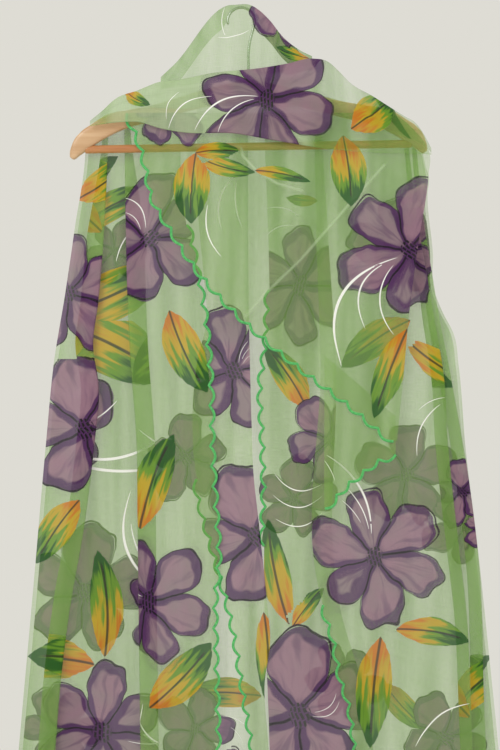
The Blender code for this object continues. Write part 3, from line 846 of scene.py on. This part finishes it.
def make_left_fall():
    """Left fall: laps open out from the bar to the hem, as a pleat does when it is held at the top."""
    rows = fall_heights(LEFT_OUTLINE[-1][0] / 1000.0)
    left, fold_1, fold_2, edge = lines_at(rows, LEFT_OUTLINE, LEFT_FOLD_1, LEFT_FOLD_2, LEFT_EDGE)
    opened = ease((FALL_TOP - rows) / 0.15)
    lap = 0.007 + 0.016 * opened
    step = LAYER + 0.0030 * opened
    front = FRONT_DEPTH + 0.0015 * opened
    turns = [left, fold_1, fold_1 - lap, fold_2 + lap, fold_2, edge]
    levels = [front, front + step, front + 2 * step, front + step, front]
    panel = hang(*pleated(turns, levels, (13, 6, 36, 6, 27), 6), rows)
    span = scalloped(rows, LEFT_SCALLOPS_FROM)
    cords = [side_cord("left_fall_side", panel, -1, span), hem_cord("left_fall_hem", panel)]
    grid = with_hem(with_side(panel, -1, span))
    printed_sheet("stole_left_fall", grid, flat_of(grid), LEFT_PRINT)


make_left_fall()

# %% [markdown]
# ## The inner and centre falls
# Two plain falls show between the left and the right one. Each lies a layer further back, and their
# left edges are scalloped.

# %% Inner and centre falls
INNER_LEFT = [(-150, -60), (-276, -58), (-337, -51), (-384, -48), (-440, -60), (-600, -58),
              (-687, -34), (-760, -15), (-862, 2), (-912, 10), (-1205, 17)]
INNER_RIGHT = [(-150, 2), (-405, 4), (-518, 7), (-575, 9), (-640, 16), (-748, 27), (-782, 30),
               (-845, 23), (-905, 27), (-1205, 50)]
CENTRE_LEFT = [(-150, 23), (-440, 25), (-461, 22), (-529, 24), (-607, 26), (-662, 24), (-900, 30),
               (-1210, 42)]
CENTRE_RIGHT = [(-150, 92), (-434, 112), (-748, 118), (-861, 150), (-918, 158), (-1210, 190)]

INNER_PRINT = (
    [(-12, -449, 90, 15, 5), (16, -655, 92, 43, 2), (30, -1010, 80, 10, 6)],
    [(22, -750, 26, -866, 0.15), (20, -1100, 34, -1180, 0.8)],
    [(-9, -440, 3, -412, 0.1), (-6, -440, 6, -420, 0.1), (-4, -441, 7, -430, 0.1),
     (-12, -204, -30, -274, -0.17), (-12, -213, -5, -270, -0.08)],
)
CENTRE_PRINT = (
    [(67, -344, 86, 0, 7), (104, -535, 62, -21, 3), (70, -880, 106, 18, 2), (110, -1090, 84, 45, 1)],
    [(76, -497, 23, -418, 0.6), (54, -768, 27, -633, 0.15), (58, -770, 98, -722, 0.5),
     (64, -1160, 120, -1190, 0.2), (150, -960, 120, -1010, 0.6)],
    [(35, -577, 96, -591, -0.24), (33, -604, 96, -606, -0.24), (36, -634, 96, -627, -0.22),
     (85, -878, 113, -853, -0.20), (82, -882, 117, -863, -0.25), (24, -247, 66, -256, 0.13),
     (24, -283, 60, -268, 0.15)],
)


def make_plain_fall(name, lines, layers_back, columns, scallops, print_table):
    """Fall with no pleat, some layers behind the front ones, scalloped at its left."""
    rows = fall_heights(lines[0][-1][0] / 1000.0)
    x = spread(*lines_at(rows, *lines), columns)
    y = FRONT_DEPTH + 0.0015 * ease((FALL_TOP - rows) / 0.15)[:, None] + layers_back * LAYER + 0 * x
    panel = hang(x, y, rows)
    span = scalloped(rows, *scallops)
    cords = [side_cord(name + "_side", panel, 0, span), hem_cord(name + "_hem", panel)]
    grid = with_hem(with_side(panel, 0, span))
    printed_sheet("stole_" + name, grid, flat_of(grid, -1), print_table)


make_plain_fall("inner_fall", (INNER_LEFT, INNER_RIGHT), 1, 20, (-0.583,), INNER_PRINT)
make_plain_fall("centre_fall", (CENTRE_LEFT, CENTRE_RIGHT), 2, 42, (-0.346, -0.670), CENTRE_PRINT)

# %% [markdown]
# ## The right fall
# A broad front and two narrow knife pleats that face the same way. Its left edge is a fold at the
# top and shows its scallops only from three quarters of the way down the photograph.

# %% Right fall
RIGHT_EDGE = [(-150, 86), (-257, 88), (-434, 94), (-740, 97), (-784, 112), (-836, 122), (-861, 130),
              (-918, 139), (-1220, 168)]
RIGHT_FOLD_1 = [(-150, 200), (-257, 214), (-377, 234), (-463, 248), (-535, 252), (-596, 258),
                (-665, 266), (-761, 277), (-871, 282), (-1220, 290)]
RIGHT_FOLD_2 = [(-150, 211), (-257, 223), (-377, 241), (-463, 258), (-596, 281), (-698, 293),
                (-871, 299), (-1220, 318)]
RIGHT_OUTLINE = [(-150, 214), (-178, 228), (-208, 227), (-298, 234), (-349, 236), (-377, 247),
                 (-402, 260), (-445, 267), (-548, 276), (-679, 292), (-831, 308), (-1220, 346)]
RIGHT_SCALLOPS_FROM = -0.742

RIGHT_PRINT = (
    [(160, -684, 94, 10, 6), (272, -603, 46, 30, 4), (302, -646, 34, 10, 2), (198, -302, 74, 15, 6),
     (180, -1020, 88, 10, 8), (300, -1010, 76, 50, 2), (240, -1150, 84, 30, 5)],
    [(205, -386, 118, -446, 0.6), (168, -780, 155, -921, 0.35), (186, -771, 280, -789, 0.45),
     (286, -884, 309, -807, 0.5), (200, -411, 262, -470, 0.3), (206, -1080, 150, -1150, 0.3),
     (276, -1080, 330, -1120, 0.7), (150, -1170, 190, -1200, 0.5)],
    [(156, -654, 99, -554, -0.15), (153, -648, 126, -596, -0.08), (143, -639, 119, -611, -0.06),
     (215, -499, 249, -483, 0.10), (213, -557, 243, -491, 0.15), (210, -918, 281, -866, 0.15),
     (172, -1010, 120, -960, 0.2), (186, -1010, 236, -970, -0.2)],
)


def make_right_fall():
    """Right fall: each run lies a step further back than the one to its left."""
    rows = fall_heights(RIGHT_OUTLINE[-1][0] / 1000.0)
    edge, fold_1, fold_2, right = lines_at(rows, RIGHT_EDGE, RIGHT_FOLD_1, RIGHT_FOLD_2, RIGHT_OUTLINE)
    opened = ease((FALL_TOP - rows) / 0.3)
    lap = 0.006 + 0.010 * opened
    step = 0.0016 + 0.0012 * opened
    front = FRONT_DEPTH + 0.0015 * ease((FALL_TOP - rows) / 0.15)
    turns = [edge, fold_1, fold_1 - lap, fold_2, fold_2 - lap, right]
    levels = [front + k * step for k in range(5)]
    panel = hang(*pleated(turns, levels, (42, 6, 14, 6, 16), 5), rows)
    span = scalloped(rows, RIGHT_SCALLOPS_FROM)
    cords = [side_cord("right_fall_side", panel, 0, span), hem_cord("right_fall_hem", panel)]
    grid = with_hem(with_side(panel, 0, span))
    printed_sheet("stole_right_fall", grid, flat_of(grid, 4), RIGHT_PRINT)


make_right_fall()

# %% [markdown]
# ## The back fall
# One broad sheet behind all the others. Its upper end laps forward over the yoke, and it hangs in
# soft waves. Its flowers show through the front layers as pale ghosts.

# %% Back fall
BACK_HEM = -1.235
BACK_LAP = [(0.0032, 0.0015), (0.0088, 0.0013), (0.0132, -0.0010)]  # depth, rise over the arms

BACK_PRINT = (
    [(-201, -728, 85, 10, 2), (-236, -900, 62, 30, 5), (225, -300, 60, 40, 1), (200, -580, 72, 15, 3),
     (277, -646, 60, 50, 6), (252, -912, 66, 45, 4), (-75, -560, 60, 20, 4), (62, -612, 55, 10, 2),
     (-165, -300, 45, 35, 7), (122, -844, 60, 25, 5), (-65, -900, 55, 0, 1), (-10, -1000, 84, 15, 6),
     (160, -1030, 84, 30, 3), (-180, -1070, 86, 20, 8), (290, -1090, 80, 0, 7), (60, -1160, 80, 50, 1),
     (-70, -1150, 76, 10, 5)],
    [(20, -858, -75, -857, 0.6), (173, -842, 229, -900, 0.6), (90, -236, 50, -232, 0.5),
     (-260, -980, -220, -1050, 0.2), (60, -930, 110, -1000, 0.6), (180, -1130, 230, -1180, 0.3),
     (-240, -1150, -190, -1190, 0.7)],
    [(-35, -883, 5, -900, 0.12), (-20, -897, -4, -918, 0.1), (-180, -1060, -130, -990, 0.2)],
)


def lap_over_arms(x, depth, rise):
    """A row of the upper end, which stays behind the arms where they bend down."""
    upper = arm_edges(x)[0]
    shoulder = ease((np.abs(x - ARM_CENTRE) - 0.105) / 0.030)
    depth = depth + (0.0105 + 0.3 * depth - depth) * shoulder
    over_neck = 0.0022 * np.exp(-(((x - ARM_CENTRE) / 0.014) ** 2))
    slope = np.hypot(1.0, np.gradient(upper, x))
    return np.stack([x, depth, upper + rise * slope - 0.003 * shoulder + over_neck], axis=1)


def make_back_fall():
    """Back fall: the outlines of the front falls, a little narrower, with waves that deepen downwards."""
    rows = np.linspace(FALL_TOP, BACK_HEM, 190)
    left, right = lines_at(rows, LEFT_OUTLINE, RIGHT_OUTLINE)
    x = spread(left + 0.003, right - 0.003, 196)
    opened = ease((FALL_TOP - rows) / 0.20)[:, None]
    wave = 0.0026 * opened * np.sin(TURN * x / 0.118 + 4 * rows[:, None])
    panel = hang(x, 0.0165 + 0.0100 * opened + wave, rows)
    lap = np.array([lap_over_arms(x[0], depth, rise) for depth, rise in BACK_LAP])
    joined = np.concatenate([lap, panel[:1]])
    share = np.linspace(0.0, 3.0, 10)[:-1]
    k = np.minimum(share.astype(int), 2)
    s = (share - k)[:, None, None]
    slope = np.gradient(joined, axis=0)
    over = cubic(s, joined[k], joined[k + 1], slope[k], slope[k + 1])
    panel = np.concatenate([over, panel])
    cords = [hem_cord("back_fall_hem", panel)]
    grid = with_hem(panel)
    flat = flat_of(grid, 98)
    printed_sheet("stole_back_fall", grid, flat, BACK_PRINT,
                  material=back_organza)


make_back_fall()

# %% [markdown]
# ## The overlay
# The layer in front of the bar narrows to a corner, and its scalloped edge runs down diagonally. A
# knife fold crosses it the other way, a lesser cowl fold hangs under the band, and its right side
# is a soft fold with no border. The layer tucked under its corner follows the same depth.

# %% Overlay and the layer under it
OVERLAY_LEFT = [(-130, -146), (-156, -133), (-205, -119), (-231, -114), (-274, -90), (-334, -49),
                (-388, 3), (-439, 63), (-487, 126), (-536, 183)]
OVERLAY_RIGHT = [(-130, 184), (-150, 208), (-178, 227), (-208, 226), (-288, 214), (-377, 202),
                 (-465, 194), (-536, 187)]
UNDER_TOP = [(97, -430), (184, -505)]
UNDER_FOOT = [(97, -620), (108, -606), (122, -590), (142, -573), (163, -558), (185, -552)]

# Folds of the overlay. Columns: across and height of each point along the fold, in millimetres
KNIFE_FOLD = [(171, -195), (121, -251), (67, -313), (22, -356), (0, -382)]
COWL_FOLD = [(-69, -171), (-6, -171), (-4, -184), (12, -201), (38, -218), (69, -227)]
# Columns as for the shared creases
OVERLAY_CREASES = [
    (196, -200, 150, -330, -1.6, 9), (140, -190, 60, -262, 1.4, 8), (188, -330, 176, -500, 1.5, 7),
    (100, -200, -20, -262, -1.2, 9), (-60, -200, -84, -250, 1.3, 8), (160, -360, 120, -450, -1.3, 9),
]

OVERLAY_PRINT = (
    [(-92, -124, 56, 20, 3), (204, -303, 96, 50, 6)],
    [(-63, -180, -6, -179, 0.5), (-62, -179, -68, -268, 0.95), (-61, -184, 12, -204, 0.25),
     (10, -202, 80, -216, 0.05), (120, -158, 130, -247, 0.9), (200, -397, 158, -509, 0.35)],
    [(189, -309, 119, -447, -0.27), (182, -312, 148, -400, -0.27), (183, -318, 184, -406, -0.21),
     (-47, -243, -30, -309, -0.13)],
)
UNDER_PRINT = ([], [], [(97, -561, 110, -586, 0.04)])


def folds(x, z, table, wide):
    """A soft ridge along a broken line: the highest of its parts' bells."""
    points = np.array(table) / 1000.0
    ridges = [bell(x, z, *a, *b, wide) for a, b in zip(points[:-1], points[1:])]
    return np.max(ridges, axis=0)


def overlay_depth(x, z):
    """Depth of the overlay: it leaves the bar, stands out along its folds and sways below."""
    free = ease((-0.182 - z) / 0.10)
    knife = 0.0030 * folds(x, z, KNIFE_FOLD, 0.014)
    knife = knife + 0.0022 * folds(x - 0.007, z - 0.006, KNIFE_FOLD, 0.004)
    cowl = 0.0030 * folds(x, z, COWL_FOLD, 0.010) + 0.0020 * folds(x, z, COWL_FOLD, 0.004)
    depth = -FRONT_DEPTH - 0.004 * free - knife - cowl * ease((-0.165 - z) / 0.01) + sway(x, z)
    for *line, deep, wide in np.array(OVERLAY_CREASES) / 1000.0:
        depth = depth + deep * bell(x, z, *line, wide) * free
    return depth


def make_overlay():
    """Overlay: rows from its diagonal left edge to its right fold, whose last strip turns back."""
    rows = np.linspace(OVERLAY_LEFT[0][0], OVERLAY_LEFT[-1][0], 250) / 1000.0
    x = spread(*lines_at(rows, OVERLAY_LEFT, OVERLAY_RIGHT), 190)
    z = rows[:, None] + 0 * x
    turned = np.clip((np.linspace(0.0, 1.0, 190) - 0.975) / 0.025, 0.0, 1.0) ** 2
    y = overlay_depth(x, z) + 0.0016 * turned
    panel = np.stack([x, y, z], axis=2)
    cords = [side_cord("front_overlay", panel, 0)]
    grid = with_side(panel, 0)
    across, up = grid[:, :, 0], grid[:, :, 2]
    # Along the knife and cowl folds: denser cloth, with a painted highlight that makes the fold line paler
    tuck = 0.7 * folds(across, up, KNIFE_FOLD, 0.0016) + 0.7 * folds(across, up, COWL_FOLD, 0.0018)
    tuck = np.minimum(tuck, 1.0) * ease((-0.165 - up) / 0.02)
    flat = flat_of(grid, 110)
    printed_sheet("stole_front_overlay", grid, flat, OVERLAY_PRINT, tuck)


def make_folded_under():
    """The layer under the overlay's corner: the same depth, one layer back."""
    top, foot = curve_through(UNDER_TOP), curve_through(UNDER_FOOT)
    x = np.linspace(UNDER_FOOT[0][0], UNDER_FOOT[-1][0], 34) / 1000.0
    share = np.linspace(0.0, 1.0, 44)[:, None]
    z = top(x) * (1 - share) + foot(x) * share
    x = x + 0 * z
    panel = np.stack([x, overlay_depth(x, z) + 0.0019, z], axis=2)
    cords = [hem_cord("folded_under", panel)]
    grid = with_hem(panel)
    printed_sheet("stole_folded_under", grid, flat_of(grid), UNDER_PRINT)


make_overlay()
make_folded_under()

# %% [markdown]
# ## The band across the arms
# The cloth rolls over the yoke and is tucked under itself at its foot. Its section is a soft roll:
# up behind the front, over a half circle, down the front with a shallow crease, and round a small
# tuck. Short slanting wrinkles gather at both shoulders.

# %% Band
BAND_TOP = [(-193, -140), (-177, -127), (-163, -114), (-133, -102), (-111, -93), (-77, -88),
            (-48, -82), (23, -74), (52, -69), (82, -63), (103, -68), (114, -78), (130, -94),
            (154, -108), (197, -135), (209, -142), (220, -157), (229, -174)]
BAND_FOOT = [(-193, -148), (-153, -143), (-133, -143), (-105, -151), (-75, -156), (-16, -157),
             (37, -166), (100, -176), (159, -181), (229, -183)]
BAND_BACK = -0.0090
WRINKLES = [
    (-150, -116, -96, -132, 1.0, 4), (-120, -100, -40, -112, 1.3, 5), (-60, -128, 40, -136, -1.0, 6),
    (10, -84, 96, -96, -1.1, 5), (40, -118, 140, -140, 1.4, 7), (110, -100, 176, -150, 1.2, 5),
    (150, -120, 214, -166, -1.1, 5), (90, -150, 190, -166, 1.1, 5), (-30, -146, 70, -156, 0.8, 4),
]

BAND_PRINT = (
    [(26, -117, 94, 15, 7)],
    [(129, -152, 190, -112, 0.9), (-150, -104, -118, -122, 0.6)],
    [(16, -112, -64, -154, -0.19), (11, -115, -35, -156, -0.15), (-41, -111, -96, -152, -0.19),
     (-82, -105, -98, -140, -0.15)],
)


def make_band():
    """Band: a section of five parts, carried across the arms between its top and foot lines."""
    top, foot = curve_through(BAND_TOP), curve_through(BAND_FOOT)
    x = np.linspace(BAND_TOP[0][0], BAND_TOP[-1][0], 150) / 1000.0
    high, low = top(x) - 0.0006, foot(x) + 0.0006
    height = high - low
    roll = np.clip(0.30 * height, 0.0013, 0.0030)
    tuck = np.minimum(0.0014, roll)
    front = BAND_BACK - 2 * roll
    rows = []
    for s in np.linspace(0.0, 1.0, 8):
        rows.append((BAND_BACK + 0 * x, low + 0.45 * height + (0.55 * height - roll) * s))
    for angle in np.linspace(0.0, math.pi, 11)[1:-1]:
        rows.append((BAND_BACK - roll + roll * math.cos(angle), high - roll + roll * math.sin(angle)))
    for s in np.linspace(0.0, 1.0, 26):
        bulge = 0.09 * (height - 0.006) * (math.sin(math.pi * s) - 0.6 * math.exp(-(((s - 0.3) / 0.1) ** 2)))
        rows.append((front - np.maximum(bulge, 0.0), high - roll + (low + tuck - high + roll) * s))
    for angle in np.linspace(0.0, math.pi, 7)[1:]:
        rows.append((front + tuck - tuck * math.cos(angle), low + tuck - tuck * math.sin(angle)))
    grid = np.array([np.stack([x, y, z], axis=1) for y, z in rows])
    in_front = ease((BAND_BACK - 0.001 - grid[:, :, 1]) / 0.002)
    for *line, deep, wide in np.array(WRINKLES) / 1000.0:
        grid[:, :, 1] += deep * bell(grid[:, :, 0], grid[:, :, 2], *line, wide) * in_front
    middle = len(rows) - 20
    flat = flat_of(grid, 75, middle)
    # The band's rolled middle: denser cloth with a painted highlight; its right part, below 0, is clearer
    roll_density_and_highlight = 1.25 * ease((0.10 - grid[:, :, 0]) / 0.03) * ease((grid[:, :, 0] + 0.19) / 0.03) - 0.5
    printed_sheet("stole_band", grid, flat, BAND_PRINT, roll_density_and_highlight)


make_band()

# %% [markdown]
# ## The peak over the hook
# The hook lifts the cloth into a low tent. It rises in front, turns over a round ridge and ends in
# a short lap behind, which is cut short round the hook's eye so that the hook can be hung up. Creases
# run down from its top as they do from any point that holds up cloth.

# %% Peak
PEAK_TOP = [(-106, -84), (-88, -67), (-33, 0), (-26, 4), (-12, 6), (4, 6), (30, -14), (44, -32),
            (66, -50), (82, -58)]
PEAK_LAP = 0.022
EYE_RADIUS = 0.015
PEAK_RIDGE = 0.0032  # radius of the turn over the top
PEAK_CREASES = [
    (-14, 2, -62, -84, 1.1, 5), (-8, 0, -24, -82, -1.2, 6), (2, 0, 14, -76, 1.3, 6),
    (10, -6, 48, -70, -1.1, 5), (-24, 0, -90, -82, -0.9, 5), (20, -14, 70, -64, 1.0, 4),
]
PEAK_PRINT = (
    [(60, 14, 72, 68, 3)],
    [(79, -62, 38, -48, 0.5)],
    [(-26, 2, -22, -40, -0.15), (-36, -36, 4, -27, -0.08)],
)


def make_peak():
    """Peak: rows up the front, half a circle over the ridge, and down the lap."""
    top, band_top = curve_through(PEAK_TOP), curve_through(BAND_TOP)
    x = np.linspace(PEAK_TOP[0][0], PEAK_TOP[-1][0], 84) / 1000.0
    centre = top(x) - 0.0006 - PEAK_RIDGE
    base = np.minimum(band_top(x) - 0.009, centre - 0.002)
    beside_eye = 1 - np.exp(-(((x + SIDEWAYS) / EYE_RADIUS / 1.2) ** 4))
    lap = centre - 0.0015 - np.minimum(PEAK_LAP, (centre - base) * 0.8) * beside_eye
    rows = []
    for share in np.linspace(0.0, 1.0, 30):
        rows.append((-0.0072 + (0.0072 - PEAK_RIDGE) * ease(share) + 0 * x, base + (centre - base) * share))
    for angle in np.linspace(0.0, math.pi, 10)[1:-1]:
        rows.append((-PEAK_RIDGE * math.cos(angle) + 0 * x, centre + PEAK_RIDGE * math.sin(angle)))
    for share in np.linspace(0.0, 1.0, 8):
        rows.append((PEAK_RIDGE + 0 * x, centre + (lap - centre) * share))
    grid = np.array([np.stack([x, y, z], axis=1) for y, z in rows])
    on_front = ease((-0.0026 - grid[:, :, 1]) / 0.001) * ease((grid[:, :, 2] - base) / 0.008)
    for *line, deep, wide in np.array(PEAK_CREASES) / 1000.0:
        grid[:, :, 1] -= abs(deep) * bell(grid[:, :, 0], grid[:, :, 2], *line, wide) * on_front * 1.2
    flat = [values[::-1] for values in flat_of(grid[::-1], 42, -1)]  # its rows run upwards
    printed_sheet("stole_peak", grid, flat, PEAK_PRINT)


make_peak()

# %% [markdown]
# ## The hanger
# The yoke is one board, bent down at both ends and rounded all along: a section like a rounded
# square, carried along the arms' middle line. The bar is turned from a stick, with a shallow turned
# line near each end, and the hook is one wire that goes up from the yoke and round the eye.

# %% Yoke, bar and hook
ARM_THICKNESS = 0.012
BAR_RADIUS = 0.005
BAR_HALF_LENGTH = 0.206
BAR_HEIGHT = -0.171
WIRE_RADIUS = 0.0018


def make_arms():
    """Yoke: a superellipse section, the fourth powers of its two shares adding up to one."""
    reach = ARMS[-1][0] / 1000.0
    x = ARM_CENTRE + reach * np.sin(np.linspace(-math.pi / 2, math.pi / 2, 181))
    upper, lower = arm_edges(x)
    tip = (1 - np.abs((x - ARM_CENTRE) / reach) ** 60) ** 0.5 * 0.97 + 0.03
    turn = np.linspace(0.0, TURN, 40, endpoint=False)
    power = lambda wave: np.sign(wave) * np.abs(wave) ** 0.5
    y = ARM_THICKNESS / 2 * tip[:, None] * power(np.cos(turn))
    z = ((upper + lower) / 2)[:, None] + ((upper - lower) / 2)[:, None] * power(np.sin(turn))
    grid = np.stack([x[:, None] + SIDEWAYS + 0 * y, y, z], axis=2)
    arms = mesh_of("yoke", grid[::-1], pale_wood, True, True)
    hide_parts("hanger_arms")


def make_bar():
    """Bar: a turned profile along its length, ended where it meets the arms' lower edges."""
    end = BAR_HALF_LENGTH - 0.0012
    share = np.linspace(-1.0, 1.0, 161)
    x = share * end
    groove = sum(0.0005 * np.exp(-(((x - side * 0.186) / 0.0012) ** 2)) for side in (-1, 1))
    rim = (1 - np.abs(share) ** 400) ** 0.5
    radius = (BAR_RADIUS - groove) * (0.12 + 0.88 * rim)
    path = np.stack([x + ARM_CENTRE + SIDEWAYS, 0 * x, BAR_HEIGHT + ARM_TILT * x], axis=1)
    face = np.tile([0.0, -1.0, 0.0], (len(x), 1))
    bar = mesh_of("turned_bar", tube(path, 2 * radius, 2 * radius, face, 28), red_wood, True, True)
    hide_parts("hanger_bar")


def make_hook():
    """Hook: a smooth line through the neck's points and on round the eye."""
    radius = EYE_RADIUS + WIRE_RADIUS
    neck = ARM_CENTRE + SIDEWAYS
    foot = float(arm_edges(np.array([ARM_CENTRE]))[0][0]) + 0.0003
    route = [(neck, foot), (neck, -0.078), (neck, -0.070), (neck, -0.056), (neck + 0.0010, -0.045),
             (neck + 0.0036, -0.033)]
    for degrees in range(-20, 211, 18):
        angle = math.radians(degrees)
        route.append((radius * math.cos(angle), -EYE_RADIUS + radius * math.sin(angle)))
    points = np.array(route)
    length = along(points)
    slope = np.gradient(points, length, axis=0)
    marks = np.linspace(0.0, length[-1], 150)
    i = np.clip(np.searchsorted(length, marks) - 1, 0, len(length) - 2)
    step = (length[i + 1] - length[i])[:, None]
    s = (marks - length[i])[:, None] / step
    line = cubic(s, points[i], points[i + 1], slope[i] * step, slope[i + 1] * step)
    path = np.stack([line[:, 0], 0 * marks, line[:, 1]], axis=1)
    face = np.tile([0.0, -1.0, 0.0], (len(marks), 1))
    rounded = np.minimum(1.0, ((marks[-1] - marks) / WIRE_RADIUS + 0.05) ** 0.5)
    hook = mesh_of("wire_hook", tube(path, 2 * WIRE_RADIUS * rounded, 2 * WIRE_RADIUS * rounded, face, 16),
                   steel_wire, True, True)
    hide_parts("hanger_hook")


make_arms()
make_bar()
make_hook()

# %% [markdown]
# The floor is a plain pale plaster. The last lines note the two boxes, the imported model's and the
# finished one's.

# %% Floor finish, sizes, finish
plaster = Finish("pale_plaster", Roughness=0.9)
spot = plaster.node("TexCoord", output=3)
speckle = plaster.noise(spot, 12.0, 4.0)
plaster.feed("Base Color", plaster.blend(speckle, linear(214, 212, 204), linear(226, 224, 217)))
floor.data.materials.append(plaster.material)

seen_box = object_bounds()
[[list(map(float, corner)) for corner in box] for box in (cad_box, seen_box)]
print("packed box:", cad_box)
print("finished box:", seen_box)
